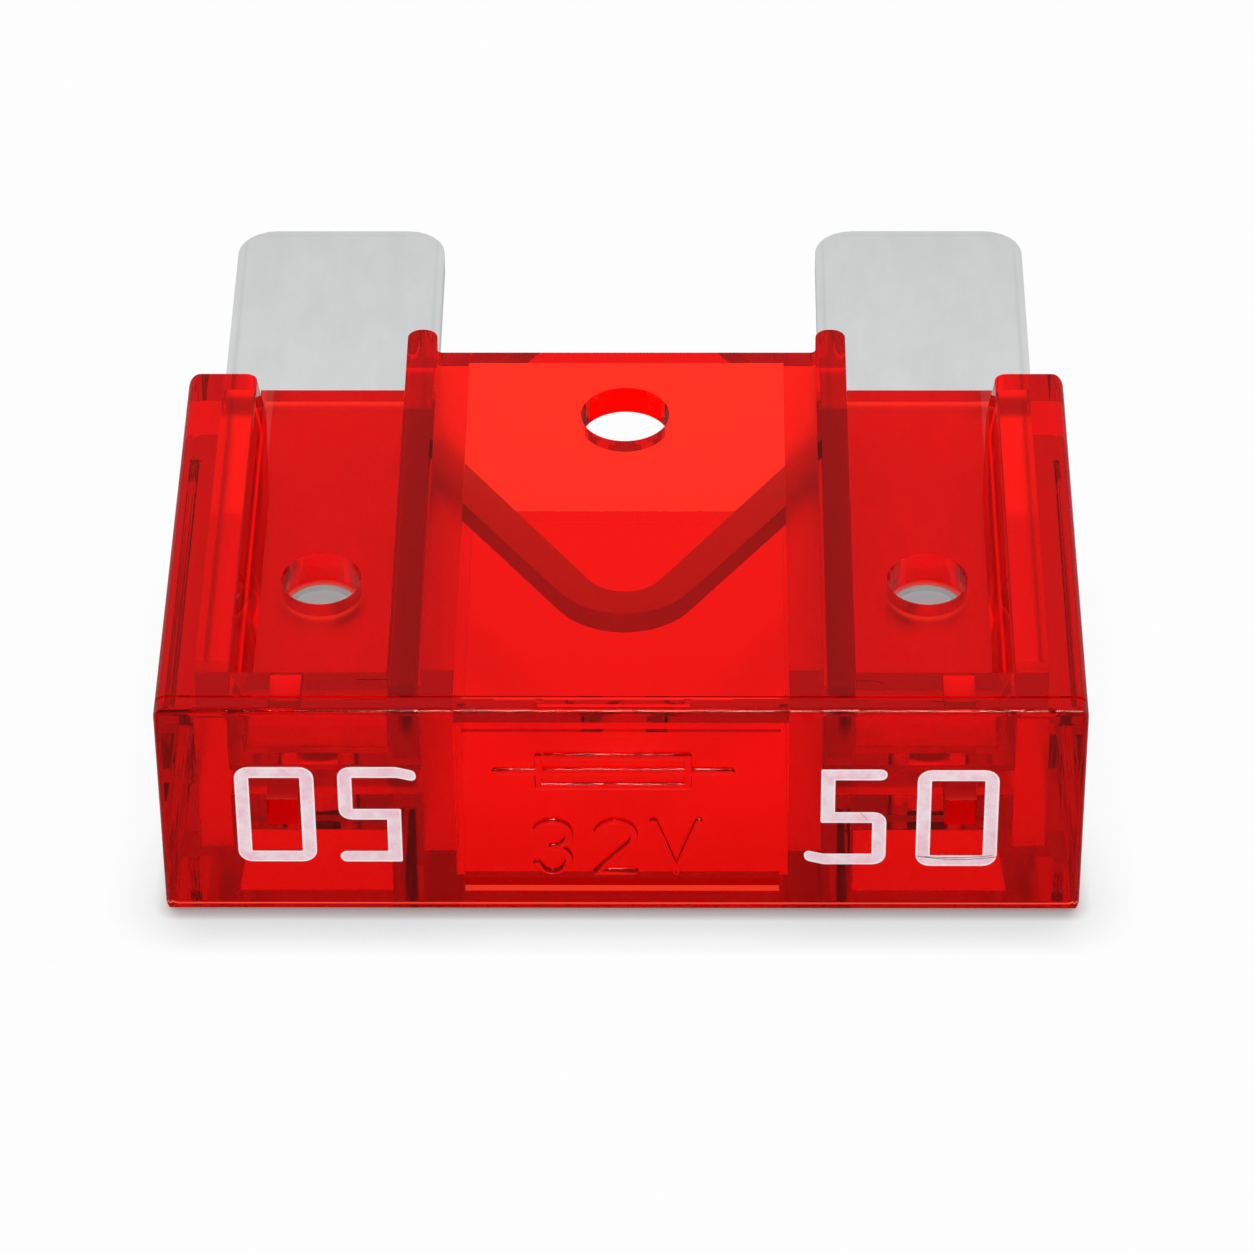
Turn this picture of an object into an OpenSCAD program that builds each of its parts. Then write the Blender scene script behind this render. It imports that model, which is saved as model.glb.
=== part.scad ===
// Large automotive blade fuse: a moulded see-through housing round one stamped metal element.
// The fuse lies on its broad face. X runs across the head, Y from the head face to the blade
// tips, and Z up through the thickness. Both broad faces are alike, apart from the hole in the
// upper centre panel. The sizes below count Y from the head face, and centre_y then brings the
// middle of the whole length to the origin.

/* [Housing] */
// Width across the head
body_w = 29.2; // [28.6:0.1:34]
// Thickness over the ribs
body_t = 8.3; // [7.8:0.1:10]
// Depth from the head face to the ends of the webs
body_l = 20.1; // [19.2:0.1:24]
// How far the outer ribs stop short of the webs
rib_setback = 2.5; // [1:0.1:4]
// How far the centre panels stop short of the webs
panel_setback = 1.3; // [0.6:0.1:3]
// Radius on the long edges of the housing
edge_r = 0.35; // [0.1:0.05:0.6]
// Radius round the head face
head_edge_r = 0.2; // [0.1:0.05:0.4]
// Distance from the head face to the parting line
seam_y = 0.65; // [0.4:0.05:1.2]
// Width of the fine groove at the parting line
seam_w = 0.1; // [0.05:0.01:0.15]
// Depth of that groove
seam_depth = 0.05; // [0.02:0.01:0.1]

/* [Ribs and pockets] */
// Width of each outer rib at its top
rib_w = 2.3; // [1.9:0.1:2.6]
// Radius on the back corners of the outer ribs
rib_end_r = 0.4; // [0.1:0.05:0.8]
// How far each web's inner side lies inside the inner edge of its blade
web_in = 0.19; // [0.1:0.01:0.3]
// Thickness of each web
web_t = 1; // [0.95:0.05:1.2]
// Radius on the ends of the webs
web_end_r = 0.45; // [0.2:0.05:0.45]
// Radius between the webs and the ends of the centre panels
web_fillet = 0.2; // [0.1:0.05:0.4]
// Depth of the pocket between rib and web
pocket_depth = 2.55; // [2:0.05:2.6]
// Depth of solid head in front of the pockets
pocket_front = 1.9; // [1.4:0.1:2.6]
// How far the rib side leans out towards the pocket floor
pocket_draft = 0.45; // [0.42:0.01:0.6]
// Length over which the pocket floor widens towards the blades
mouth_l = 6; // [3:0.1:8]
// How far the pocket floor widens over that length
mouth_flare = 0.4; // [0.1:0.05:0.4]

/* [Chambers] */
// Thickness of the side walls
side_wall = 1.1; // [0.9:0.05:1.2]
// Width of the hollow inside each outer rib
rib_hollow_w = 1.05; // [0.8:0.05:1.2]
// Thickness of the rib tops over their hollows
rib_top = 1.5; // [1.1:0.05:1.8]
// Thickness of the head in front of the side chambers
head_wall = 2.75; // [2.2:0.05:3.2]
// Thickness of the centre panels
panel_wall = 1; // [0.8:0.05:1.3]
// Width of the thicker strips between the centre panels and the webs
strip_w = 1.08; // [0.8:0.02:1.4]
// Thickness of those strips
strip_wall = 1.3; // [1:0.05:1.6]
// Thickness of head and recess in front of the centre chamber
centre_front = 1.2; // [1:0.05:1.6]
// Gap between the metal and the slot round it
metal_gap = 0.1; // [0.05:0.01:0.15]

/* [Holes and recess] */
// Diameter of the hole in the upper centre panel
centre_hole_d = 2.93; // [2:0.05:4]
// Distance from the panel end to that hole
centre_hole_in = 3.44; // [2.6:0.05:5]
// Diameter of the hole in each pocket floor
side_hole_d = 2.64; // [2:0.02:3]
// How far those holes lie outside the middle of the pocket
side_hole_shift = 0.07; // [-0.1:0.01:0.15]
// Distance of those holes from the head face
side_hole_y = 9.8; // [8:0.1:12]
// Side of each square probe window
window_w = 1; // [0.6:0.05:1.4]
// Distance from the side of the housing to the middle of each probe window
window_in = 3.9; // [3.2:0.05:4.6]
// How far the recess in the head face stops short of the webs
recess_in = 1.36; // [1:0.02:2]
// Margin above and below that recess
recess_margin = 0.85; // [0.6:0.05:1.2]
// Depth of that recess
recess_depth = 0.3; // [0.1:0.02:0.4]

/* [Fuse element] */
// Thickness of the metal
metal_t = 0.8; // [0.6:0.05:1]
// Length of the blades outside the housing
blade_out = 11.05; // [9:0.1:15]
// Width of each blade
blade_w = 7.3; // [6.9:0.05:7.6]
// How far each blade's outer edge lies inside the side of the housing
blade_in = 0.75; // [0.5:0.05:1]
// Radius on the corners of the blade tips
blade_tip_r = 1.35; // [0.6:0.05:2.4]
// Gap between each blade's root and the hollow inside the rib beside it
root_side_gap = 0.1; // [0.05:0.01:0.3]
// Gap between the roots and the head wall
root_gap = 0.25; // [0.1:0.05:0.6]
// Diameter of the coined dimple under each side hole
dimple_d = 2.1; // [1.4:0.05:2.4]
// Depth of that dimple
dimple_depth = 0.12; // [0.05:0.01:0.2]
// Distance from the head face to the middle of the link's bend
link_apex_y = 9.4; // [7:0.1:11]
// Radius of the link's bend, along its middle
link_r = 2; // [1.2:0.1:3]
// Width of the link at its bend
link_w = 1.15; // [0.6:0.05:1.3]
// Width of the link where it leaves the blade roots
link_root_w = 1.3; // [0.9:0.05:1.8]
// How far those places lie inside the webs' ends
link_root_in = 1.4; // [1.2:0.1:3]

/* [Hidden] */
eps = 0.01;
arc_steps = 6;
half_w = body_w / 2;
centre_y = (body_l + blade_out) / 2;
mid_z = body_t / 2;
rib_l = body_l - rib_setback;
panel_l = body_l - panel_setback;
blade_x = half_w - blade_in - blade_w;
web_x = blade_x - web_in;
web_out = web_x + web_t;
panel_x = web_x - strip_w;
pocket_z = body_t - pocket_depth;
rib_in = half_w - rib_w;
chamber_x = half_w - side_wall;
hollow_x = chamber_x - rib_hollow_w;
side_hole_x = (web_out + rib_in) / 2 + side_hole_shift;
window_x = half_w - window_in;
recess_x = web_x - recess_in;
slot_t = metal_t + 2 * metal_gap;
arm_x = web_out + metal_gap;
root_out = hollow_x - root_side_gap;
root_y = head_wall + root_gap;

// Points of an arc round (x, y) from angle a to angle b
function arc(x, y, r, a, b) =
    [for (i = [0 : arc_steps]) let (t = a + (b - a) * i / arc_steps) [x + r * cos(t), y + r * sin(t)]];

// A rectangle from (x0, y0) to (x1, y1) with its own radius at each corner, starting low left
module rounded_rect(x0, y0, x1, y1, radii) {
    polygon(concat(
        arc(x0 + radii[0], y0 + radii[0], radii[0], 180, 270),
        arc(x1 - radii[1], y0 + radii[1], radii[1], 270, 360),
        arc(x1 - radii[2], y1 - radii[2], radii[2], 0, 90),
        arc(x0 + radii[3], y1 - radii[3], radii[3], 90, 180)));
}

// Extrudes a profile drawn in X and Z along Y, from y0 to y1
module along_y(y0, y1) {
    translate([0, y1, 0]) rotate([90, 0, 0]) linear_extrude(y1 - y0) children();
}

// Places its children on the right and, mirrored, on the left
module both_sides() {
    children();
    mirror([1, 0, 0]) children();
}

// Places its children on the upper and, mirrored, on the lower broad face
module both_faces() {
    children();
    translate([0, 0, body_t]) mirror([0, 0, 1]) children();
}

// A box from one corner to the other
module block(low, high) {
    translate(low) cube(high - low);
}

// The housing's cross-section, inset by a depth
module section(inset) {
    r = edge_r;
    rounded_rect(inset - half_w, inset, half_w - inset, body_t - inset, [r, r, r, r]);
}

module outer_form() {
    along_y(0, body_l) section(0);
}

// The fine groove of the parting line, round the housing just behind the head face
module seam() {
    along_y(seam_y, seam_y + seam_w) difference() {
        translate([-half_w - 1, -1]) square([body_w + 2, body_t + 2]);
        section(seam_depth);
    }
}

// Rounds the four edges of the head face
module head_rounding() {
    linear_extrude(body_t)
        rounded_rect(-half_w, 0, half_w, body_l + 1, [head_edge_r, head_edge_r, eps, eps]);
}

module head_rounding_flat() {
    translate([-half_w, 0, 0]) rotate([90, 0, 90]) linear_extrude(body_w)
        rounded_rect(0, 0, body_l + 1, body_t, [head_edge_r, eps, eps, head_edge_r]);
}

// Cuts the webs' ends round and steps the centre panels and outer ribs back
module back_steps() {
    // Between the webs, over the whole thickness
    translate([0, 0, -1]) linear_extrude(body_t + 2) polygon(concat(
        arc(web_x - web_fillet, panel_l + web_fillet, web_fillet, 270, 360),
        [[web_x, body_l + 1], [-web_x, body_l + 1]],
        arc(-web_x + web_fillet, panel_l + web_fillet, web_fillet, 180, 270)));
    // Over and under the blades, where the outer ribs stop
    both_sides() both_faces() translate([0, 0, pocket_z]) linear_extrude(pocket_depth + 1)
        difference() {
            translate([rib_in - 1, rib_l - rib_end_r]) square([rib_w + 2, body_l]);
            rounded_rect(rib_in, rib_l - 2, half_w, rib_l, [eps, eps, rib_end_r, rib_end_r]);
        }
    // Rounded web ends
    both_sides() both_faces() translate([0, 0, pocket_z]) linear_extrude(pocket_depth + 1)
        difference() {
            translate([web_x - eps, body_l - web_t / 2]) square([web_t + 2 * eps, web_t]);
            translate([web_x, body_l - web_t]) rounded_rect(0, 0, web_t, web_t, [eps, eps, web_end_r, web_end_r]);
        }
}

// One pocket between an outer rib and a web, with its leaning rib side
module pocket() {
    along_y(pocket_front, body_l + 1) polygon([
        [web_out, pocket_z], [rib_in - pocket_draft, pocket_z], [rib_in, body_t + eps],
        [rib_in, body_t + 1], [web_out, body_t + 1]]);
    translate([0, 0, pocket_z]) linear_extrude(pocket_depth + 1) polygon([
        [web_out + eps, body_l - mouth_l], [rib_in - pocket_draft, body_l - mouth_l],
        [rib_in - pocket_draft + mouth_flare, body_l], [rib_in - pocket_draft + mouth_flare, body_l + 1],
        [web_out + eps, body_l + 1]]);
}

// The hollow inside an outer rib, from the upper rib top down to the lower one
module rib_hollow() {
    block([hollow_x, head_wall, rib_top], [chamber_x, body_l + 1, body_t - rib_top]);
}

// The slot that holds a blade's root; it runs on through the web into the centre chamber
module blade_slot() {
    block([web_x - eps, head_wall, mid_z - slot_t / 2], [chamber_x, body_l + 1, mid_z + slot_t / 2]);
}

// The centre chamber that the link lies in, open at the blade side
module centre_chamber() {
    block([-panel_x, centre_front, panel_wall], [panel_x, body_l, body_t - panel_wall]);
    block([-web_x, head_wall, strip_wall], [web_x, body_l, body_t - strip_wall]);
}

module holes() {
    translate([0, panel_l - centre_hole_in, mid_z]) cylinder(h = mid_z + 1, d = centre_hole_d, $fn = 64);
    both_sides() {
        translate([side_hole_x, side_hole_y, -1]) cylinder(h = body_t + 2, d = side_hole_d, $fn = 64);
        block([window_x - window_w / 2, -1, mid_z - window_w / 2],
              [window_x + window_w / 2, head_wall + eps, mid_z + window_w / 2]);
    }
}

module recess() {
    block([-recess_x, -1, recess_margin], [recess_x, recess_depth, body_t - recess_margin]);
}

module housing() {
    color([0.85, 0.07, 0.06, 0.8]) translate([0, -centre_y, 0]) difference() {
        intersection() {
            outer_form();
            head_rounding();
            head_rounding_flat();
        }
        seam();
        back_steps();
        both_sides() {
            both_faces() pocket();
            rib_hollow();
            blade_slot();
        }
        centre_chamber();
        holes();
        recess();
    }
}

// The link's middle line: a bend of radius link_r, then straight arms that run on to the roots
link_centre = [0, link_apex_y + link_r];
arm_end = [arm_x, body_l - link_root_in];
arm_far = norm(arm_end - link_centre);
arm_turn = atan2(arm_end[1] - link_centre[1], arm_end[0]) - acos(link_r / arm_far);
arm_start = link_centre + link_r * [cos(arm_turn), sin(arm_turn)];
arm_normal = [cos(arm_turn), sin(arm_turn)];
arm_along = [-sin(arm_turn), cos(arm_turn)];
arm_l = norm(arm_end - arm_start);

// One edge of the right half of the link, side being 1 outside and -1 inside the bend
function link_edge(side) = concat(
    arc(link_centre[0], link_centre[1], link_r + side * link_w / 2, 270, arm_turn + 360),
    [arm_start + arm_l * arm_along + side * link_root_w / 2 * arm_normal,
     arm_start + (arm_l + link_root_w) * arm_along + side * link_root_w / 2 * arm_normal]);

function reversed(list) = [for (i = [len(list) - 1 : -1 : 0]) list[i]];

module half_link() {
    polygon(concat(link_edge(1), reversed(link_edge(-1))));
}

// A blade with its rounded tip, and its root in the housing, narrower on the outer side
module blade() {
    rounded_rect(blade_x, body_l + metal_gap, blade_x + blade_w, body_l + blade_out,
        [eps, eps, blade_tip_r, blade_tip_r]);
    translate([blade_x, root_y]) square([root_out - blade_x, body_l + 1 - root_y]);
}

module dimple() {
    translate([side_hole_x, side_hole_y, metal_t - dimple_depth])
        cylinder(h = dimple_depth + 1, d = dimple_d, $fn = 48);
    translate([side_hole_x, side_hole_y, -1]) cylinder(h = dimple_depth + 1, d = dimple_d, $fn = 48);
}

module fuse_element() {
    color([0.78, 0.79, 0.8]) translate([0, -centre_y, mid_z - metal_t / 2]) difference() {
        linear_extrude(metal_t) both_sides() {
            blade();
            half_link();
        }
        both_sides() dimple();
    }
}

housing();
fuse_element();
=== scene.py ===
"""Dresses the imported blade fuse: see-through red housing, printed and moulded ratings, satin metal.

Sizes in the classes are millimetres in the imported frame: X runs across the head, Y from the head
face to the blade tips, and Z up through the thickness. MM turns them into Blender's metres.
"""

import logging
import math
from dataclasses import dataclass, field
from enum import Enum

import bmesh
import bpy
from mathutils import Matrix, Vector

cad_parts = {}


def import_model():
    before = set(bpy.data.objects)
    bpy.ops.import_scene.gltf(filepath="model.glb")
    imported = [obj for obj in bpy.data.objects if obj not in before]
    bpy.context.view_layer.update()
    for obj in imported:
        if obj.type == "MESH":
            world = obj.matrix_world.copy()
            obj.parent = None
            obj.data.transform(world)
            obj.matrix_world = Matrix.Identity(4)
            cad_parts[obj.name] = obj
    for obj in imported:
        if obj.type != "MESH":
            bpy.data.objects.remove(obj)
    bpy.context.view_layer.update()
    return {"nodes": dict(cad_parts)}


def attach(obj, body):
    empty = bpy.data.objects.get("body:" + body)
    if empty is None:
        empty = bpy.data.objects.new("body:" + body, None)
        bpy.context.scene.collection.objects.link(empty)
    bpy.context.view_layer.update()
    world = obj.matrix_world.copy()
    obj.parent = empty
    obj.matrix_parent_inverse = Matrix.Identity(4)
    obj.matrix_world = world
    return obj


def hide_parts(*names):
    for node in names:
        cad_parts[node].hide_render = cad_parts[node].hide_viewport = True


MM = 0.001
LOG = logging.getLogger("blade_fuse")


class Side(Enum):
    """The two halves of the head face, by the sign of X."""

    LEFT = -1
    RIGHT = 1


class Slot(Enum):
    """The record's material slot name for the housing plastic."""

    HOUSING = "housing_plastic"


class Bench:
    """Lays out the shader nodes of one material or of the world."""

    def __init__(self, owner: bpy.types.Material | bpy.types.World, output: str) -> None:
        """Starts from an empty node tree.

        Args:
            owner: The material or the world.
            output: Its output node's type without the ShaderNode in front.
        """
        owner.use_nodes = True
        self.tree = owner.node_tree
        self.tree.nodes.clear()
        self.output = self.node(output)
        self.path = self.node("LightPath")

    def node(self, kind: str, **values: object) -> bpy.types.Node:
        """Adds a node.

        Args:
            kind: The node's type without the ShaderNode in front.
            values: Node settings, and socket values by the socket's name with _ for a space.

        Returns:
            The new node.
        """
        made = self.tree.nodes.new("ShaderNode" + kind)
        for key, value in values.items():
            if hasattr(made, key):
                setattr(made, key, value)
            else:
                made.inputs[key.replace("_", " ")].default_value = value
        return made

    def wire(self, start: bpy.types.NodeSocket, end: bpy.types.NodeSocket) -> None:
        """Links one socket to another."""
        self.tree.links.new(start, end)

    def maths(self, operation: str, *parts: bpy.types.NodeSocket | float) -> bpy.types.NodeSocket:
        """Adds a Math node.

        Args:
            operation: The node's operation.
            parts: Its inputs in order, each a socket or a number.

        Returns:
            The result's socket.
        """
        made = self.node("Math", operation=operation)
        for part, socket in zip(parts, made.inputs):
            if isinstance(part, bpy.types.NodeSocket):
                self.wire(part, socket)
            else:
                socket.default_value = part
        return made.outputs["Value"]

    def between(
        self, share: bpy.types.NodeSocket, low: bpy.types.NodeSocket | float | tuple,
        high: bpy.types.NodeSocket | float | tuple,
    ) -> bpy.types.NodeSocket:
        """Mixes two numbers or two colours.

        Args:
            share: 0 gives low and 1 gives high.
            low: A socket, a number or a colour.
            high: A socket, a number or a colour.

        Returns:
            The result's socket.
        """
        colours = isinstance(low, tuple) or isinstance(high, tuple)
        made = self.node("Mix", data_type="RGBA" if colours else "FLOAT")
        first = 6 if colours else 2
        self.wire(share, made.inputs[0])
        for part, socket in ((low, made.inputs[first]), (high, made.inputs[first + 1])):
            if isinstance(part, bpy.types.NodeSocket):
                self.wire(part, socket)
            else:
                socket.default_value = part
        return made.outputs[2 if colours else 0]

    def mirrored(self) -> bpy.types.NodeSocket:
        """Gives 1 for what the plastic's outside reflects like a mirror."""
        outputs = self.path.outputs
        outside = self.maths("LESS_THAN", outputs["Transmission Depth"], 0.5)
        sharp = self.maths("MULTIPLY", outputs["Is Singular Ray"], outputs["Is Reflection Ray"])
        return self.maths("MULTIPLY", sharp, outside)

    def through_plastic(self) -> bpy.types.NodeSocket:
        """Gives 1 for what is seen through the plastic, and 0 for the light that falls through it."""
        direct = self.maths("LESS_THAN", self.path.outputs["Diffuse Depth"], 0.5)
        inside = self.maths("GREATER_THAN", self.path.outputs["Transmission Depth"], 0.5)
        return self.maths("MULTIPLY", inside, direct)

    def place(self, scale: tuple = (1, 1, 1)) -> bpy.types.NodeSocket:
        """Gives object coordinates in millimetres, scaled.

        Args:
            scale: Scale along each axis, on top of millimetres.

        Returns:
            The vector socket.
        """
        where = self.node("TexCoord")
        mapping = self.node("Mapping", Scale=[share / MM for share in scale])
        self.wire(where.outputs["Object"], mapping.inputs["Vector"])
        return mapping.outputs["Vector"]

    def axes(self) -> tuple[bpy.types.NodeSocket, bpy.types.NodeSocket, bpy.types.NodeSocket]:
        """Gives the place on the piece.

        Returns:
            The sockets of X, Y and Z, in millimetres.
        """
        split = self.node("SeparateXYZ")
        self.wire(self.place(), split.inputs["Vector"])
        return split.outputs["X"], split.outputs["Y"], split.outputs["Z"]

    def inside(
        self, value: bpy.types.NodeSocket, low: float, high: float,
        share: bpy.types.NodeSocket | float = 1.0,
    ) -> bpy.types.NodeSocket:
        """Keeps a share where a value lies in a span, and gives 0 elsewhere.

        Args:
            value: The value.
            low: The span's lower end.
            high: The span's upper end.
            share: The share that is kept.

        Returns:
            The result's socket.
        """
        kept = self.maths("MULTIPLY", share, self.maths("GREATER_THAN", value, low))
        return self.maths("MULTIPLY", kept, self.maths("LESS_THAN", value, high))


def material_bench(name: str) -> tuple[bpy.types.Material, Bench]:
    """Starts a material.

    Args:
        name: The material's name.

    Returns:
        The material and the bench for its nodes.
    """
    material = bpy.data.materials.new(name)
    return material, Bench(material, "OutputMaterial")


def linear(red: float, green: float, blue: float) -> tuple[float, float, float, float]:
    """Turns an sRGB colour of 0 to 255 into Blender's linear colour.

    Args:
        red: Red as a screen shows it.
        green: Green as a screen shows it.
        blue: Blue as a screen shows it.

    Returns:
        Linear red, green, blue and an alpha of 1.
    """
    parts = [c / 255 for c in (red, green, blue)]
    return (*[p / 12.92 if p <= 0.04045 else ((p + 0.055) / 1.055) ** 2.4 for p in parts], 1.0)


@dataclass(frozen=True)
class MouldedPlastic:
    """Clear red polycarbonate: gloss outside, colour from the depth of plastic behind.

    Each of core_marks holds the spans of |X|, Y and Z that a core's faces lie in, and their roughness.
    """

    name: str = "moulded_red_plastic"
    ior: float = 1.58
    gloss_tint: tuple = (0.8, 0.27, 0.25, 1.0)
    absorbed: tuple = (0.9875, 0.2, 0.0, 1.0)
    depth_density: float = 4.1
    ripple_size: float = 0.9
    ripple_depth: float = 0.0008
    ripple_detail: float = 3.0
    ripple_roughness: float = 0.55
    core_marks: tuple = (
        ((6.3, 13.55), (-12.9, -12.3), (1.4, 6.9), 0.3),
        ((7.3, 12.4), (-13.75, -13.6), (-0.1, 2.6), 0.4),
        ((12.0, 13.55), (-12.9, 9.0), (1.4, 6.9), 0.12),
        ((6.3, 13.55), (-12.9, 9.0), (3.5, 4.8), 0.06),
        ((13.4, 13.55), (-12.9, 9.0), (3.5, 4.8), 0.4),
        ((5.2, 6.42), (-12.9, 9.0), (1.2, 7.1), 0.3),
        ((10.15, 11.25), (-15.5, -12.9), (3.5, 4.8), 0.5),
        ((-1.0, 5.3), (-14.3, 9.0), (0.9, 1.1), 0.12),
    )

    def material(self) -> bpy.types.Material:
        """Builds the plastic.

        Returns:
            The material.
        """
        material, bench = material_bench(self.name)
        shell = bench.node(
            "BsdfPrincipled",
            IOR=self.ior,
            Roughness=0.0,
            Transmission_Weight=1.0,
            Specular_Tint=self.gloss_tint,
            Base_Color=(1, 1, 1, 1),
        )
        ripple = bench.node(
            "TexNoise", Scale=1 / self.ripple_size, Detail=self.ripple_detail,
            Roughness=self.ripple_roughness)
        bench.wire(bench.place(), ripple.inputs["Vector"])
        bump = bench.node("Bump", Strength=1.0, Distance=self.ripple_depth * MM)
        bench.wire(ripple.outputs["Fac"], bump.inputs["Height"])
        bench.wire(bump.outputs["Normal"], shell.inputs["Normal"])
        bench.wire(self.core_finish(bench), shell.inputs["Roughness"])
        depth = bench.node("VolumeAbsorption", Color=self.absorbed, Density=self.depth_density / MM)
        bench.wire(shell.outputs["BSDF"], bench.output.inputs["Surface"])
        bench.wire(depth.outputs["Volume"], bench.output.inputs["Volume"])
        return material

    def core_finish(self, bench: Bench) -> bpy.types.NodeSocket:
        """Gives the roughness: none outside, and the mould cores' fine texture in the hollows.

        Args:
            bench: The plastic's node bench.

        Returns:
            The roughness' socket.
        """
        x, y, z = bench.axes()
        across = bench.maths("ABSOLUTE", x)
        finish = 0.0
        for *spans, here in self.core_marks:
            for value, (low, high) in zip((across, y, z), spans):
                here = bench.inside(value, low, high, here)
            finish = bench.maths("MAXIMUM", finish, here)
        return finish


@dataclass(frozen=True)
class SatinMetal:
    """Tinned zinc strip: pale, brushed along the blades, with soft cloudy patches; its colour also holds
    painted shade on the blades and link, and painted light in the dimples.
    """

    name: str = "satin_tinned_metal"
    pale: tuple = linear(246, 247, 247)
    grey: tuple = linear(228, 231, 231)
    # painted shade: the darker tone of the link and of the roots under the webs
    link_and_grip_shade_tone: tuple = linear(186, 188, 182)
    # painted shade: the tone of the band inside the coined edge and of the tips
    painted_shade_tone: tuple = linear(196, 198, 199)
    cloud_scale: tuple = (0.9, 0.35, 1.0)
    grain_scale: tuple = (14.0, 0.5, 14.0)
    roughness: tuple = (0.42, 0.56)
    link_x: float = 6.45
    grip_x: float = 7.36
    grip_y: float = 2.3
    fade: float = 0.15
    blade_sides: tuple = (6.55, 13.85)
    tip_y: float = 15.575
    edge_in: float = 0.27
    edge_width: float = 0.16
    edge_shade_share: float = 0.35
    tip_from: float = 6.0
    tip_shade_share: float = 0.22
    dimple_at: tuple = (9.9, -5.775)
    dimple_r: float = 1.2
    # painted light: a tint that cancels the red light falling into the dimples
    dimple_tint_against_red_light: tuple = (0.8, 0.95, 0.95, 1.0)

    def material(self) -> bpy.types.Material:
        """Builds the metal.

        Returns:
            The material.
        """
        material, bench = material_bench(self.name)
        metal = bench.node("BsdfPrincipled")
        polished = self.polished(bench)
        bench.wire(polished, metal.inputs["Metallic"])
        cloud = bench.node("TexNoise", Scale=1.0, Detail=3.0, Roughness=0.6)
        bench.wire(bench.place(self.cloud_scale), cloud.inputs["Vector"])
        tone = bench.between(cloud.outputs["Fac"], self.grey, self.pale)
        # painted shade: darker in a band inside the blades' coined edge and towards the tips
        tone = bench.between(self.painted_blade_shade(bench), tone, self.painted_shade_tone)
        # painted shade: the link and the roots under the webs darker
        tone = bench.between(self.painted_link_and_grip_shade(bench), tone, self.link_and_grip_shade_tone)
        # painted light: the dimples' colour is tinted away from red to cancel the red light that reaches them
        # through the plastic
        bench.wire(bench.between(polished, self.dimple_tint_against_red_light, tone), metal.inputs["Base Color"])
        grain = bench.node("TexNoise", Scale=1.0, Detail=4.0, Roughness=0.7)
        bench.wire(bench.place(self.grain_scale), grain.inputs["Vector"])
        rough = bench.node("MapRange", To_Min=self.roughness[0], To_Max=self.roughness[1])
        bench.wire(grain.outputs["Fac"], rough.inputs["Value"])
        bench.wire(rough.outputs["Result"], metal.inputs["Roughness"])
        bench.wire(metal.outputs["BSDF"], bench.output.inputs["Surface"])
        return material

    def painted_blade_shade(self, bench: Bench) -> bpy.types.NodeSocket:
        """Gives the blades' painted shade: a soft darker band inside the coined edge, and more towards the
        tips.

        Args:
            bench: The metal's node bench.

        Returns:
            The share's socket.
        """
        x, y, _ = bench.axes()
        across = bench.maths("ABSOLUTE", x)
        inward = bench.maths("MINIMUM", bench.maths("SUBTRACT", across, self.blade_sides[0]),
                             bench.maths("SUBTRACT", self.blade_sides[1], across))
        inward = bench.maths("MINIMUM", inward, bench.maths("SUBTRACT", self.tip_y, y))
        off = bench.maths("ABSOLUTE", bench.maths("SUBTRACT", inward, self.edge_in))
        band = bench.node("MapRange", From_Max=self.edge_width, To_Min=self.edge_shade_share, To_Max=0.0)
        bench.wire(off, band.inputs["Value"])
        tip = bench.node("MapRange", From_Min=self.tip_from, From_Max=self.tip_y, To_Max=self.tip_shade_share)
        bench.wire(y, tip.inputs["Value"])
        outside = bench.maths("GREATER_THAN", y, self.grip_y)
        shade = bench.maths("MAXIMUM", band.outputs["Result"], tip.outputs["Result"])
        return bench.maths("MULTIPLY", shade, outside)

    def polished(self, bench: Bench) -> bpy.types.NodeSocket:
        """Gives 1 for the rolled strip, and 0 in the coined dimples, whose face is matt and whose colour
        holds painted light: a tint against the red light that falls in.

        Args:
            bench: The metal's node bench.

        Returns:
            The share's socket.
        """
        x, y, _ = bench.axes()
        across = bench.maths("SUBTRACT", bench.maths("ABSOLUTE", x), self.dimple_at[0])
        along = bench.maths("SUBTRACT", y, self.dimple_at[1])
        far = bench.maths("MULTIPLY_ADD", across, across, bench.maths("MULTIPLY", along, along))
        return bench.maths("GREATER_THAN", far, self.dimple_r ** 2)

    def painted_link_and_grip_shade(self, bench: Bench) -> bpy.types.NodeSocket:
        """Gives 1 on the link and on the strips of the roots that the webs grip: painted shade, the metal
        darker under the webs and on the link.

        Args:
            bench: The metal's node bench.

        Returns:
            The share's socket.
        """
        x, y, _ = bench.axes()
        across = bench.maths("ABSOLUTE", x)
        shares = []
        for value, edge in ((across, self.link_x), (across, self.grip_x), (y, self.grip_y)):
            fade = bench.node("MapRange", From_Min=edge, From_Max=edge + self.fade, To_Min=1.0, To_Max=0.0)
            bench.wire(value, fade.inputs["Value"])
            shares.append(fade.outputs["Result"])
        link, strip, length = shares
        return bench.maths("MAXIMUM", link, bench.maths("MULTIPLY", strip, length))


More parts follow.
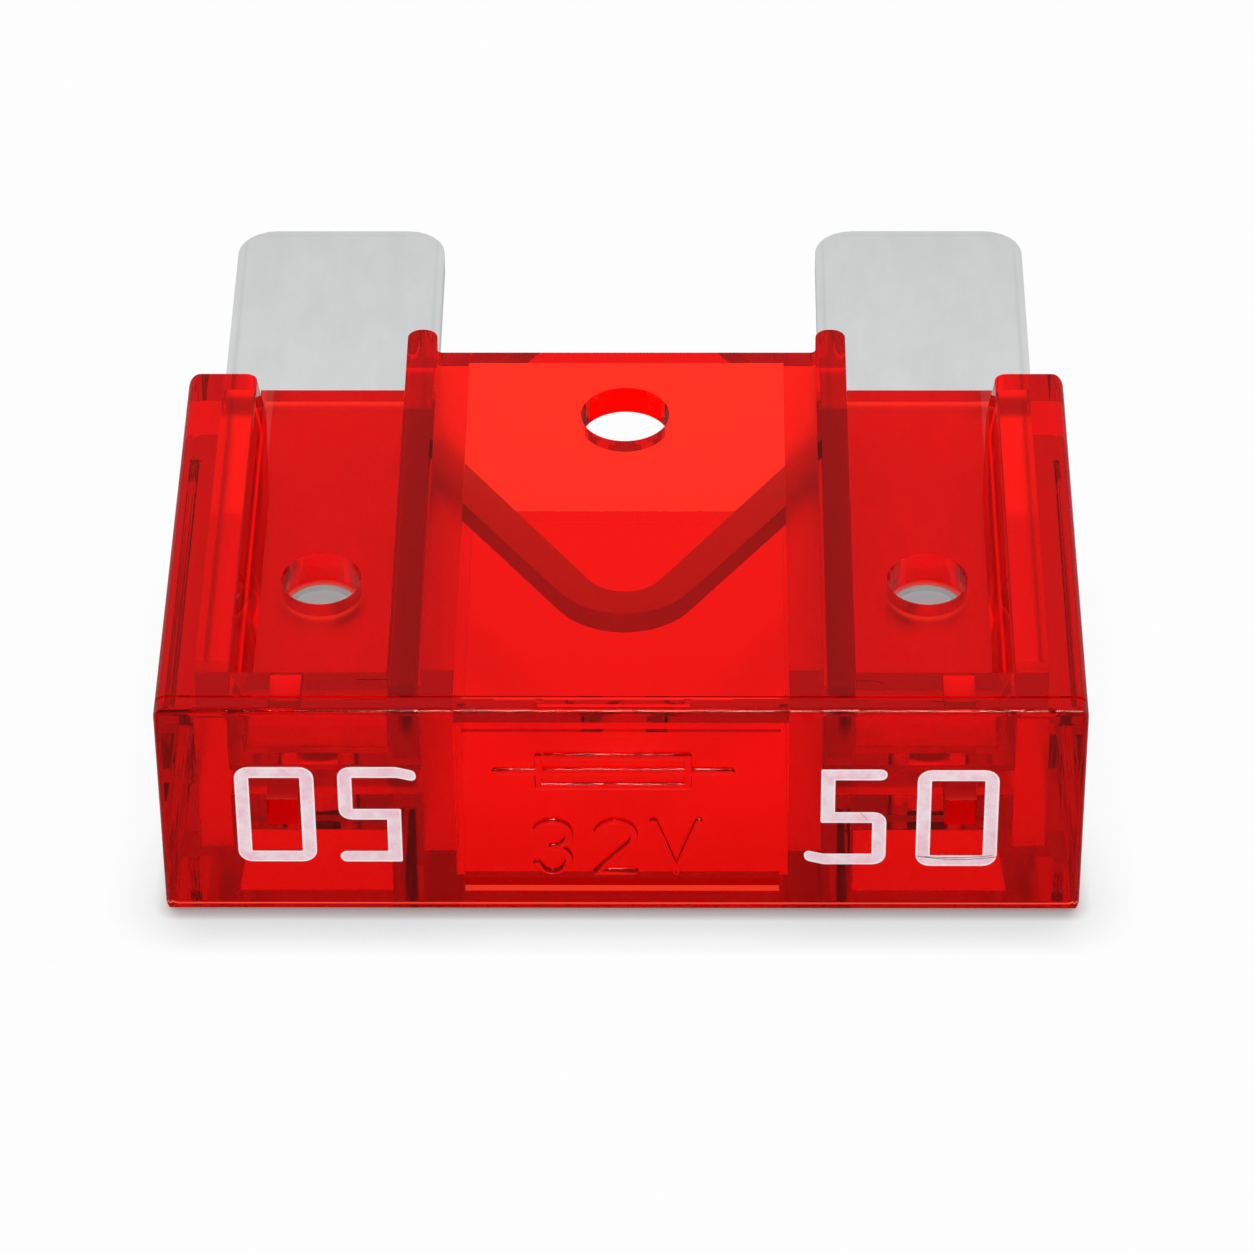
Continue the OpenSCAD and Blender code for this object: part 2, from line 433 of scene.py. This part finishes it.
@dataclass(frozen=True)
class PaleInk:
    """Pale pinkish print, thin enough to let some red through.

    Each of cracks holds a hairline's middle X, its Z, slope and bend there, and its ends' X.
    """

    name: str = "pale_print"
    pale: tuple = linear(255, 231, 238)
    flushed: tuple = linear(248, 203, 216)
    cloud_size: float = 0.45
    cloud_span: tuple = (0.35, 0.62)
    cracks: tuple = (
        (10.7, 2.19, 0.0, 0.077, (9.3, 11.9)),
        (10.5, 2.27, 0.0, 0.05, (9.6, 11.75)),
        (7.65, 4.0, -1.26, 0.0, (7.54, 7.77)),
    )
    crack_width: float = 0.013
    crack: tuple = linear(120, 40, 48)

    def material(self) -> bpy.types.Material:
        """Builds the ink.

        Returns:
            The material.
        """
        material, bench = material_bench(self.name)
        ink = bench.node("BsdfPrincipled", Roughness=0.45)
        cloud = bench.node("TexNoise", Scale=1 / self.cloud_size, Detail=4.0, Roughness=0.6)
        bench.wire(bench.place(), cloud.inputs["Vector"])
        patchy = bench.node("MapRange", From_Min=self.cloud_span[0], From_Max=self.cloud_span[1])
        bench.wire(cloud.outputs["Fac"], patchy.inputs["Value"])
        tone = bench.between(patchy.outputs["Result"], self.flushed, self.pale)
        bench.wire(bench.between(self.cracked(bench), tone, self.crack), ink.inputs["Base Color"])
        bench.wire(ink.outputs["BSDF"], bench.output.inputs["Surface"])
        return material

    def cracked(self, bench: Bench) -> bpy.types.NodeSocket:
        """Gives 1 on the hairline cracks of the right rating, along slightly bent lines.

        Args:
            bench: The ink's node bench.

        Returns:
            The share's socket.
        """
        x, _, z = bench.axes()
        share = 0.0
        for middle, low, slope, bend, (start, end) in self.cracks:
            along = bench.maths("SUBTRACT", x, middle)
            line = bench.maths("MULTIPLY_ADD", bench.maths("MULTIPLY_ADD", along, bend, slope), along, low)
            off = bench.maths("ABSOLUTE", bench.maths("SUBTRACT", z, line))
            here = bench.inside(x, start, end, bench.maths("LESS_THAN", off, self.crack_width))
            share = bench.maths("MAXIMUM", share, here)
        return share


@dataclass(frozen=True)
class PaleFloor:
    """The plain white table: as white as the photograph's, with a close shadow at the fuse.

    The lifts are what the table adds for rays through the plastic: head_lift at the line head_y, rising
    to through_lift at head_reach from it, and nothing on the narrow line under the head's front edge.
    """

    name: str = "pale_floor"
    colour: float = 0.85
    mirrored: float = 0.35
    through: float = 0.45
    through_lift: float = 0.9
    head_lift: float = 0.72
    head_y: float = -13.0
    head_reach: float = 4.0
    contact_y: float = -15.85
    contact: tuple = (0.15, 0.6)
    shadow_lean: tuple = (0.0, 0.8, 0.6)
    shadow_reach: tuple = (2.1, 0.5)
    shadow_depth: tuple = (0.45, 0.62)
    shadow_front: tuple = (-15.0, -11.0)
    shadow_rest: float = 0.35
    shadow_light: float = 0.985
    shadow_tint: tuple = (1.0, 0.76, 0.75, 1.0)
    shadow_samples: int = 5
    plain: tuple = (1.0, 1.0, 1.0, 1.0)

    def material(self) -> bpy.types.Material:
        """Builds the floor's finish.

        Returns:
            The material.
        """
        material, bench = material_bench(self.name)
        matte = bench.node("BsdfDiffuse")
        tone = bench.between(bench.mirrored(), self.colour, self.mirrored)
        bench.wire(bench.between(bench.through_plastic(), tone, self.through), matte.inputs["Color"])
        _, y, _ = bench.axes()
        lit = bench.node("Emission")
        strength = bench.maths("MULTIPLY", bench.through_plastic(), self.lifted(bench, y))
        bench.wire(strength, lit.inputs["Strength"])
        table = bench.node("AddShader")
        bench.wire(matte.outputs["BSDF"], table.inputs[0])
        bench.wire(lit.outputs["Emission"], table.inputs[1])
        seen = self.shadowed(bench, y)
        both = bench.node("MixShader")
        bench.wire(bench.path.outputs["Is Camera Ray"], both.inputs[0])
        bench.wire(table.outputs["Shader"], both.inputs[1])
        bench.wire(seen.outputs["Emission"], both.inputs[2])
        bench.wire(both.outputs["Shader"], bench.output.inputs["Surface"])
        return material

    def lifted(self, bench: Bench, y: bpy.types.NodeSocket) -> bpy.types.NodeSocket:
        """Gives the light that the table adds for rays through the plastic.

        Args:
            bench: The floor's node bench.
            y: The place's Y on the table.

        Returns:
            The strength's socket.
        """
        lift = bench.node(
            "MapRange", From_Max=self.head_reach, To_Min=self.head_lift, To_Max=self.through_lift)
        bench.wire(self.away(bench, y, self.head_y), lift.inputs["Value"])
        contact = bench.node("MapRange", From_Min=self.contact[0], From_Max=self.contact[1])
        bench.wire(self.away(bench, y, self.contact_y), contact.inputs["Value"])
        return bench.maths("MULTIPLY", lift.outputs["Result"], contact.outputs["Result"])

    def shadowed(self, bench: Bench, y: bpy.types.NodeSocket) -> bpy.types.Node:
        """Makes the white that the camera sees, with the fuse's close and faintly red shadow.

        Args:
            bench: The floor's node bench.
            y: The place's Y on the table.

        Returns:
            The Emission node.
        """
        lean = bench.node("CombineXYZ", X=self.shadow_lean[0], Y=self.shadow_lean[1], Z=self.shadow_lean[2])
        shade = self.shadow_light
        for reach, depth in zip(self.shadow_reach, self.shadow_depth):
            near = bench.node("AmbientOcclusion", samples=self.shadow_samples, Distance=reach * MM)
            bench.wire(lean.outputs["Vector"], near.inputs["Normal"])
            shade = bench.maths("MULTIPLY", shade, bench.between(near.outputs["AO"], 1 - depth, 1.0))
        front = bench.node(
            "MapRange", From_Min=self.shadow_front[0], From_Max=self.shadow_front[1],
            To_Min=1.0, To_Max=self.shadow_rest)
        bench.wire(y, front.inputs["Value"])
        shade = bench.between(front.outputs["Result"], self.shadow_light, shade)
        seen = bench.node("Emission")
        bench.wire(bench.between(near.outputs["AO"], self.shadow_tint, self.plain), seen.inputs["Color"])
        bench.wire(shade, seen.inputs["Strength"])
        return seen

    def away(self, bench: Bench, y: bpy.types.NodeSocket, line_y: float) -> bpy.types.NodeSocket:
        """Gives the distance from a line across the table.

        Args:
            bench: The floor's node bench.
            y: The place's Y on the table.
            line_y: The line's Y.

        Returns:
            The distance's socket.
        """
        return bench.maths("ABSOLUTE", bench.maths("SUBTRACT", y, line_y))


def deselect() -> None:
    """Leaves edit mode and deselects every object."""
    if bpy.context.object and bpy.context.object.mode != "OBJECT":
        bpy.ops.object.mode_set(mode="OBJECT")
    bpy.ops.object.select_all(action="DESELECT")


def take_up(piece: bpy.types.Object) -> None:
    """Makes a piece the only selected and the active object."""
    deselect()
    piece.select_set(True)
    bpy.context.view_layer.objects.active = piece


def dress(piece: bpy.types.Object, finish: bpy.types.Material) -> None:
    """Gives a piece its finish, and lets it ride on the fuse's one body.

    Args:
        piece: The finished piece.
        finish: Its material.
    """
    piece.data.materials.clear()
    piece.data.materials.append(finish)
    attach(piece, "root")
    LOG.info("%s: %d faces", piece.name, len(piece.data.polygons))


def join_up(name: str, parts: list[bpy.types.Object]) -> bpy.types.Object:
    """Joins objects into one, with its origin at the frame's and its place in the mesh.

    Args:
        name: The joined object's name.
        parts: The objects.

    Returns:
        The joined object.
    """
    deselect()
    for part in parts:
        part.select_set(True)
    bpy.context.view_layer.objects.active = parts[0]
    if len(parts) > 1:
        bpy.ops.object.join()
    joined = bpy.context.object
    joined.name = joined.data.name = name
    bpy.ops.object.transform_apply(location=True, rotation=True, scale=True)
    return joined


def carve(piece: bpy.types.Object, tool: bpy.types.Object, operation: str, crossing: bool = False) -> None:
    """Adds a tool's volume to a piece, or cuts it out, and removes the tool.

    Args:
        piece: The piece.
        tool: The tool.
        operation: UNION or DIFFERENCE.
        crossing: Whether the tool's own parts run through each other.
    """
    take_up(piece)
    cut = piece.modifiers.new("carve", "BOOLEAN")
    cut.operation = operation
    cut.solver = "EXACT"
    cut.use_self = crossing
    cut.object = tool
    bpy.ops.object.modifier_apply(modifier=cut.name)
    for face in piece.data.polygons:
        face.material_index = 0
    bpy.data.objects.remove(tool, do_unlink=True)


@dataclass
class MouldedRating:
    """The voltage rating and the fuse symbol that stand up from the recess floor."""

    floor_y: float = -15.275
    stroke_r: float = 0.135
    dot_share: float = 1.04
    sunk: float = -0.01
    sides: int = 10
    rings: int = 6
    steps_per_turn: int = 28
    least_steps: int = 4

    def build(self) -> bpy.types.Object:
        """Makes all strokes as one object, ready to be joined to the housing.

        Returns:
            The object.
        """
        return join_up("rating_strokes", self.three() + self.two() + self.volt() + self.symbol())

    def three(self) -> list[bpy.types.Object]:
        """Makes the 3 from two bowls."""
        return [self.bow((-2.2, 3.035), 0.53, 160, -90), self.bow((-2.2, 1.985), 0.52, 90, -160),
                self.dot((-2.7, 3.216)), self.dot((-2.69, 1.807)), self.dot((-2.2, 2.505))]

    def two(self) -> list[bpy.types.Object]:
        """Makes the 2 from a bowl, a slope and a foot."""
        return [self.bow((-0.2, 2.98), 0.59, 165, -35), self.rod((0.283, 2.642), (-0.8, 1.46)),
                self.rod((-0.8, 1.46), (0.39, 1.46)), self.dot((-0.77, 3.133))]

    def volt(self) -> list[bpy.types.Object]:
        """Makes the V from two slopes."""
        return [self.rod((1.01, 3.57), (1.73, 1.46)), self.rod((1.73, 1.46), (2.45, 3.57))]

    def symbol(self) -> list[bpy.types.Object]:
        """Makes the plain fuse symbol: a box with a line running through it."""
        left, right, low, high, middle = -2.6, 2.1, 5.02, 6.24, 5.63
        return [self.rod((left, low), (right, low)), self.rod((right, low), (right, high)),
                self.rod((right, high), (left, high)), self.rod((left, high), (left, low)),
                self.rod((-3.95, middle), (3.45, middle))]

    def rod(self, start: tuple[float, float], end: tuple[float, float]) -> bpy.types.Object:
        """Makes a straight stroke with round ends.

        Args:
            start: X and Z of one end.
            end: X and Z of the other end.

        Returns:
            The stroke.
        """
        reach = Vector((end[0] - start[0], 0, end[1] - start[1]))
        middle = Vector((start[0] + end[0], 2 * (self.floor_y + self.sunk), start[1] + end[1])) / 2
        deselect()
        bpy.ops.mesh.primitive_cylinder_add(
            vertices=self.sides, radius=self.stroke_r * MM, depth=reach.length * MM,
            location=middle * MM, rotation=reach.to_track_quat("Z", "Y").to_euler())
        rod = bpy.context.object
        return join_up("stroke", [rod, self.dot(start), self.dot(end)])

    def dot(self, centre: tuple[float, float]) -> bpy.types.Object:
        """Makes the round end of a stroke.

        Args:
            centre: Its X and Z.

        Returns:
            The dot.
        """
        deselect()
        place = Vector((centre[0], self.floor_y + self.sunk, centre[1]))
        bpy.ops.mesh.primitive_uv_sphere_add(
            segments=self.sides, ring_count=self.rings, radius=self.stroke_r * self.dot_share * MM,
            location=place * MM)
        return bpy.context.object

    def bow(self, centre: tuple[float, float], radius: float, start: float, end: float) -> bpy.types.Object:
        """Makes a bent stroke by spinning its round section clockwise.

        Args:
            centre: X and Z of the bend's centre.
            radius: Radius of the stroke's middle line.
            start: Angle of the first end in degrees, from X towards Z.
            end: Angle of the other end.

        Returns:
            The stroke.
        """
        hub = Vector((centre[0], self.floor_y + self.sunk, centre[1]))
        turn = math.radians(start)
        rim = hub + radius * Vector((math.cos(turn), 0, math.sin(turn)))
        deselect()
        bpy.ops.mesh.primitive_circle_add(
            vertices=self.sides, radius=self.stroke_r * MM, fill_type="NGON",
            location=rim * MM, rotation=(0, -turn, 0))
        section = bpy.context.object
        bpy.ops.object.transform_apply(location=True, rotation=True, scale=True)
        bpy.ops.object.mode_set(mode="EDIT")
        bpy.ops.mesh.select_all(action="SELECT")
        steps = max(self.least_steps, round(self.steps_per_turn * (start - end) / 360))
        bpy.ops.mesh.spin(steps=steps, angle=math.radians(start - end), center=hub * MM, axis=(0, -1, 0))
        bpy.ops.mesh.select_all(action="SELECT")
        bpy.ops.mesh.normals_make_consistent(inside=False)
        bpy.ops.object.mode_set(mode="OBJECT")
        return section


@dataclass
class PrintedRating:
    """The ampere rating printed twice on the head face, the left pair turned upside down."""

    shell: bpy.types.Object
    ink: PaleInk = field(default_factory=PaleInk)
    rim: PaleInk = PaleInk("print_rim", linear(255, 253, 254), linear(255, 240, 246))
    face_y: float = -15.575
    stroke: float = 0.448
    rim_width: float = 0.055
    rim_slack: float = 1.15
    zero_corner: float = 1.03
    five_bar: float = 0.44
    five_corner: float = 0.42
    curl_corner: float = 0.3
    curl_up: float = 0.17
    sharp: float = 0.06
    depth: float = 0.02
    clear: float = 0.002
    bed_lead: float = 0.1
    corner_steps: int = 5
    corner_share: float = 0.499

    def build(self) -> list[bpy.types.Object]:
        """Makes the four digits, each lying in a shallow bed of its own in the head face.

        Returns:
            The pieces.
        """
        inks = [self.ink.material(), self.rim.material()]
        digits = [
            self.zero("print_right_0", 9.32, 1.915, 2.575, 3.99),
            self.five("print_right_5", 6.29, 1.98, 2.08, 3.95, Side.RIGHT),
            self.zero("print_left_0", -12.175, 2.08, 2.5, 3.93),
            self.five("print_left_5", -6.96, 6.015, 1.97, 3.94, Side.LEFT),
        ]
        for digit in digits:
            carve(self.shell, self.bed(digit), "DIFFERENCE")
            dress(digit, inks[0])
            digit.data.materials.append(inks[1])
            self.mark_rim(digit)
        return digits

    def mark_rim(self, digit: bpy.types.Object) -> None:
        """Gives the narrow faces along a digit's edges the lighter ink.

        Args:
            digit: The digit.
        """
        points = [vertex.co for vertex in digit.data.vertices]
        for face in digit.data.polygons:
            longest = max((points[a] - points[b]).length for a, b in face.edge_keys)
            face.material_index = int(face.area < self.rim_slack * self.rim_width * MM * longest)

    def zero(self, name: str, left: float, low: float, width: float, height: float) -> bpy.types.Object:
        """Makes a 0: a rounded frame with sharp inner corners.

        Args:
            name: The piece's name.
            left: X of its left side.
            low: Z of its foot.
            width: Its width.
            height: Its height.

        Returns:
            The piece.
        """
        round_by = self.stroke * self.zero_corner
        corners = [(left, low), (left + width, low), (left + width, low + height), (left, low + height)]
        digit = self.flat_shape(name, [(x, z, round_by) for x, z in corners])
        bpy.ops.object.mode_set(mode="EDIT")
        bpy.ops.mesh.select_all(action="SELECT")
        bpy.ops.mesh.inset(thickness=self.rim_width * MM, depth=0)
        bpy.ops.mesh.inset(thickness=(self.stroke - 2 * self.rim_width) * MM, depth=0)
        bpy.ops.mesh.inset(thickness=self.rim_width * MM, depth=0)
        bpy.ops.mesh.delete(type="FACE")
        return self.thicken(digit)

    def five(
        self, name: str, left: float, low: float, width: float, height: float, side: Side,
    ) -> bpy.types.Object:
        """Makes a 5 with a curled foot; the left one is turned by half a turn.

        Args:
            name: The piece's name.
            left: X of the corner that its foot stands at.
            low: Z of that corner.
            width: Its width.
            height: Its height.
            side: RIGHT upright, LEFT upside down.

        Returns:
            The piece.
        """
        w, h, s = width, height, self.stroke
        bar, belly, curl, up = self.five_bar * h, self.five_corner, self.curl_corner, self.curl_up
        outline = [
            (0, h, self.sharp), (w, h, s / 2.1), (w, h - s, s / 2.1), (s, h - s, 0), (s, bar + s, 0),
            (w, bar + s, belly), (w, 0, belly), (0.12, 0, curl), (-0.48, up, s / 2.1),
            (-0.54, up + s, s / 2.3), (0.1, s, curl), (w - s, s, 0), (w - s, bar, 0), (0, bar, self.sharp),
        ]
        turn = side.value
        placed = [(left + turn * x, low + turn * z, r) for x, z, r in outline]
        digit = self.flat_shape(name, placed)
        bpy.ops.object.mode_set(mode="EDIT")
        bpy.ops.mesh.select_all(action="SELECT")
        bpy.ops.mesh.inset(thickness=self.rim_width * MM, depth=0)
        return self.thicken(digit)

    def flat_shape(self, name: str, outline: list[tuple[float, float, float]]) -> bpy.types.Object:
        """Makes one flat face from corners in X and Z, each rounded by its own radius.

        Args:
            name: The object's name.
            outline: X, Z and radius of each corner in order.

        Returns:
            The object.
        """
        shape = bmesh.new()
        points = []
        for index, (x, z, radius) in enumerate(outline):
            here = Vector((x, z))
            before = Vector(outline[index - 1][:2]) - here
            after = Vector(outline[(index + 1) % len(outline)][:2]) - here
            if radius <= 0:
                points.append(here)
                continue
            half = before.angle(after) / 2
            shorter = min(before.length, after.length)
            reach = min(radius / math.tan(half), self.corner_share * shorter)
            start, end = here + before.normalized() * reach, here + after.normalized() * reach
            inward = (before.normalized() + after.normalized()).normalized()
            hub = here + inward * reach / math.cos(half)
            sweep = (start - hub).angle_signed(end - hub) / self.corner_steps
            for step in range(self.corner_steps + 1):
                points.append(hub + Matrix.Rotation(-step * sweep, 2) @ (start - hub))
        y = (self.face_y + self.clear) * MM
        shape.faces.new([shape.verts.new((p.x * MM, y, p.y * MM)) for p in points])
        shape.normal_update()
        flat = bpy.data.objects.new(name, bpy.data.meshes.new(name))
        bmesh.ops.reverse_faces(shape, faces=[face for face in shape.faces if face.normal.y > 0])
        shape.to_mesh(flat.data)
        shape.free()
        bpy.context.scene.collection.objects.link(flat)
        take_up(flat)
        return flat

    def thicken(self, digit: bpy.types.Object) -> bpy.types.Object:
        """Gives a flat digit its thickness, into the head.

        Args:
            digit: The flat digit, in edit mode.

        Returns:
            The digit.
        """
        bpy.ops.object.mode_set(mode="OBJECT")
        thick = digit.modifiers.new("thick", "SOLIDIFY")
        thick.thickness = (self.depth - 2 * self.clear) * MM
        thick.offset = -1.0
        bpy.ops.object.modifier_apply(modifier=thick.name)
        bpy.ops.object.shade_flat()
        return digit

    def bed(self, digit: bpy.types.Object) -> bpy.types.Object:
        """Makes the tool that cuts a digit's bed.

        Args:
            digit: The digit.

        Returns:
            The tool, a little deeper than the digit and open towards the front.
        """
        tool = bpy.data.objects.new(digit.name + "_bed", digit.data.copy())
        bpy.context.scene.collection.objects.link(tool)
        middle, deep = self.face_y + self.depth / 2, self.face_y + self.depth
        for vertex in tool.data.vertices:
            vertex.co.y = (deep if vertex.co.y > middle * MM else self.face_y - self.bed_lead) * MM
        return tool


@dataclass
class HousingShell:
    """The moulded housing, with softened edges, its moulded rating and the printed one."""

    node: bpy.types.Object
    finish: MouldedPlastic = field(default_factory=MouldedPlastic)
    rating: MouldedRating = field(default_factory=MouldedRating)
    merge_reach: float = 0.003
    flat_angle: float = 0.3
    outer_z: float = 5.7
    thickness: float = 8.3
    long_edge: float = 3.0
    straight: float = 0.999
    corner_angle: float = 60.0
    edge_break: float = 0.05
    break_segments: int = 2
    soft_bends: int = 2
    soft_least: float = 1.0
    soft_most: float = 40.0
    strip_width: float = 0.16

    def build(self) -> bpy.types.Object:
        """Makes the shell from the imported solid.

        Returns:
            The piece.
        """
        piece = self.cleaned_copy()
        self.soften(piece)
        PrintedRating(piece).build()
        carve(piece, self.rating.build(), "UNION", crossing=True)
        self.smooth_roundings(piece)
        dress(piece, self.finish.material())
        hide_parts("housing")
        return piece

    def soften(self, piece: bpy.types.Object) -> None:
        """Breaks the long sharp edges of the webs, the ribs and the pockets.

        Args:
            piece: The shell.
        """
        shape = bmesh.new()
        shape.from_mesh(piece.data)
        chosen = []
        for edge in shape.edges:
            ends = [vertex.co / MM for vertex in edge.verts]
            reach = ends[0] - ends[1]
            heights = [end.z for end in ends]
            outer = min(heights) > self.outer_z or max(heights) < self.thickness - self.outer_z
            along = abs(reach.y) > self.straight * reach.length > self.long_edge
            corner = edge.is_convex and edge.calc_face_angle(0) > math.radians(self.corner_angle)
            if outer and along and corner:
                chosen.append(edge)
        LOG.info("softened edges: %d", len(chosen))
        bmesh.ops.bevel(
            shape, geom=chosen, offset=self.edge_break * MM, offset_type="OFFSET",
            segments=self.break_segments, profile=0.5, affect="EDGES", clamp_overlap=True)
        shape.to_mesh(piece.data)
        shape.free()

    def smooth_roundings(self, piece: bpy.types.Object) -> None:
        """Shades the narrow strips of the roundings smooth and leaves the flat faces flat.

        Args:
            piece: The shell.
        """
        take_up(piece)
        bpy.ops.object.shade_flat()
        shape = bmesh.new()
        shape.from_mesh(piece.data)
        for face in shape.faces:
            bends = [math.degrees(e.calc_face_angle(math.pi)) for e in face.edges]
            soft = sum(self.soft_least < bend < self.soft_most for bend in bends)
            longest = max(e.calc_length() for e in face.edges)
            narrow = face.calc_area() < self.strip_width * MM * longest
            face.smooth = narrow and soft >= self.soft_bends
        for edge in shape.edges:
            edge.smooth = math.degrees(edge.calc_face_angle(math.pi)) < self.soft_most
        shape.to_mesh(piece.data)
        shape.free()

    def cleaned_copy(self) -> bpy.types.Object:
        """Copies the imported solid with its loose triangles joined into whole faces.

        Returns:
            The copy.
        """
        piece = bpy.data.objects.new("housing_shell", self.node.data.copy())
        bpy.context.scene.collection.objects.link(piece)
        take_up(piece)
        bpy.ops.object.mode_set(mode="EDIT")
        bpy.ops.mesh.select_all(action="SELECT")
        bpy.ops.mesh.remove_doubles(threshold=self.merge_reach * MM)
        bpy.ops.mesh.dissolve_limited(angle_limit=math.radians(self.flat_angle))
        bpy.ops.object.mode_set(mode="OBJECT")
        bpy.ops.object.shade_flat()
        return piece


@dataclass
class FuseElement:
    """The stamped metal: two blades and the link between them."""

    node: bpy.types.Object
    finish: SatinMetal = field(default_factory=SatinMetal)

    def build(self) -> bpy.types.Object:
        """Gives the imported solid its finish.

        Returns:
            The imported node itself.
        """
        self.node.data.materials.clear()
        self.node.data.materials.append(self.finish.material())
        LOG.info("%s: %d faces", self.node.name, len(self.node.data.polygons))
        return self.node


@dataclass(frozen=True)
class PhotoCamera:
    """The camera as fitted to the photograph's corners and round holes."""

    place: tuple = (2.374, -159.668, 128.407)
    yaw: float = 0.014889
    pitch: float = 0.680811
    roll: float = -0.008737
    focal_px: float = 6025.25
    photo_px: float = 1254.0
    sensor: float = 36.0
    near_mm: float = 10.0
    far_m: float = 20.0

    def build(self) -> bpy.types.Object:
        """Adds the camera.

        Returns:
            The camera's object.
        """
        bpy.ops.object.camera_add()
        camera = bpy.context.object
        camera.name = "photo_camera"
        camera.data.sensor_width = self.sensor
        camera.data.lens = self.focal_px / self.photo_px * self.sensor
        camera.data.clip_start = self.near_mm * MM
        camera.data.clip_end = self.far_m
        camera.matrix_world = (
            Matrix.Translation(Vector(self.place) * MM)
            @ Matrix.Rotation(self.yaw, 4, "Z")
            @ Matrix.Rotation(math.pi / 2 - self.pitch, 4, "X")
            @ Matrix.Rotation(self.roll, 4, "Z")
        )
        bpy.context.scene.camera = camera
        return camera


@dataclass
class Studio:
    """White table and a pale dome, with one small soft box that shows in the plastic's gloss alone.

    The dome's spans are of its direction: box_height is the least Z, box_front the span of Y, and
    box_side the most that X is to either side.
    """

    floor_half: float = 1500.0
    floor_gap: float = 0.02
    dome_high: float = 1.05
    dome_low: float = 0.8
    front_lift: float = 0.5
    mirrored: float = 0.3
    through: float = 1.75
    soft_box: float = 60.0
    box_height: float = 0.87
    box_front: tuple = (-0.46, -0.2)
    box_side: float = 0.2

    def build(self) -> None:
        """Adds the floor and the dome."""
        self.floor()
        self.dome()

    def floor(self) -> None:
        """Adds the table top that the fuse lies on."""
        deselect()
        bpy.ops.mesh.primitive_plane_add(size=2 * self.floor_half * MM, location=(0, 0, -self.floor_gap * MM))
        table = bpy.context.object
        table.name = "table_top"
        table.data.materials.append(PaleFloor().material())

    def dome(self) -> None:
        """Sets the world: white to the camera, graded by height for the light, dim in mirrors."""
        world = bpy.data.worlds.new("studio_dome")
        bench = Bench(world, "OutputWorld")
        where = bench.node("TexCoord")
        height = bench.node("SeparateXYZ")
        bench.wire(where.outputs["Generated"], height.inputs["Vector"])
        graded = bench.between(height.outputs["Z"], self.dome_low, self.dome_high)
        front = bench.maths("MAXIMUM", bench.maths("MULTIPLY", height.outputs["Y"], -self.front_lift), 0.0)
        graded = bench.maths("ADD", graded, front)
        box = bench.maths("GREATER_THAN", height.outputs["Z"], self.box_height)
        sideways = bench.maths("ABSOLUTE", height.outputs["X"])
        box = bench.maths("MULTIPLY", box, bench.maths("LESS_THAN", sideways, self.box_side))
        for side, edge in zip(("GREATER_THAN", "LESS_THAN"), self.box_front):
            box = bench.maths("MULTIPLY", box, bench.maths(side, height.outputs["Y"], edge))
        gloss = bench.maths("MULTIPLY_ADD", box, self.soft_box, self.mirrored)
        level = bench.between(bench.mirrored(), graded, gloss)
        level = bench.between(bench.through_plastic(), level, self.through)
        level = bench.between(bench.path.outputs["Is Camera Ray"], level, 1.0)
        light = bench.node("Background")
        bench.wire(level, light.inputs["Strength"])
        bench.wire(light.outputs["Background"], bench.output.inputs["Surface"])
        bpy.context.scene.world = world


def set_up_view() -> None:
    """Sets the plain view transform and enough bounces for the nested walls."""
    scene = bpy.context.scene
    scene.view_settings.view_transform = "Standard"
    scene.cycles.max_bounces = 24
    scene.cycles.transmission_bounces = 20
    scene.cycles.glossy_bounces = 16
    scene.cycles.diffuse_bounces = 4


def main() -> None:
    """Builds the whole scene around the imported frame."""
    logging.basicConfig(level=logging.INFO, format="%(name)s %(message)s")
    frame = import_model()
    set_up_view()
    PhotoCamera().build()
    Studio().build()
    HousingShell(frame["nodes"]["housing"]).build()
    FuseElement(frame["nodes"]["fuse_element"]).build()


if __name__ == "__main__":
    main()
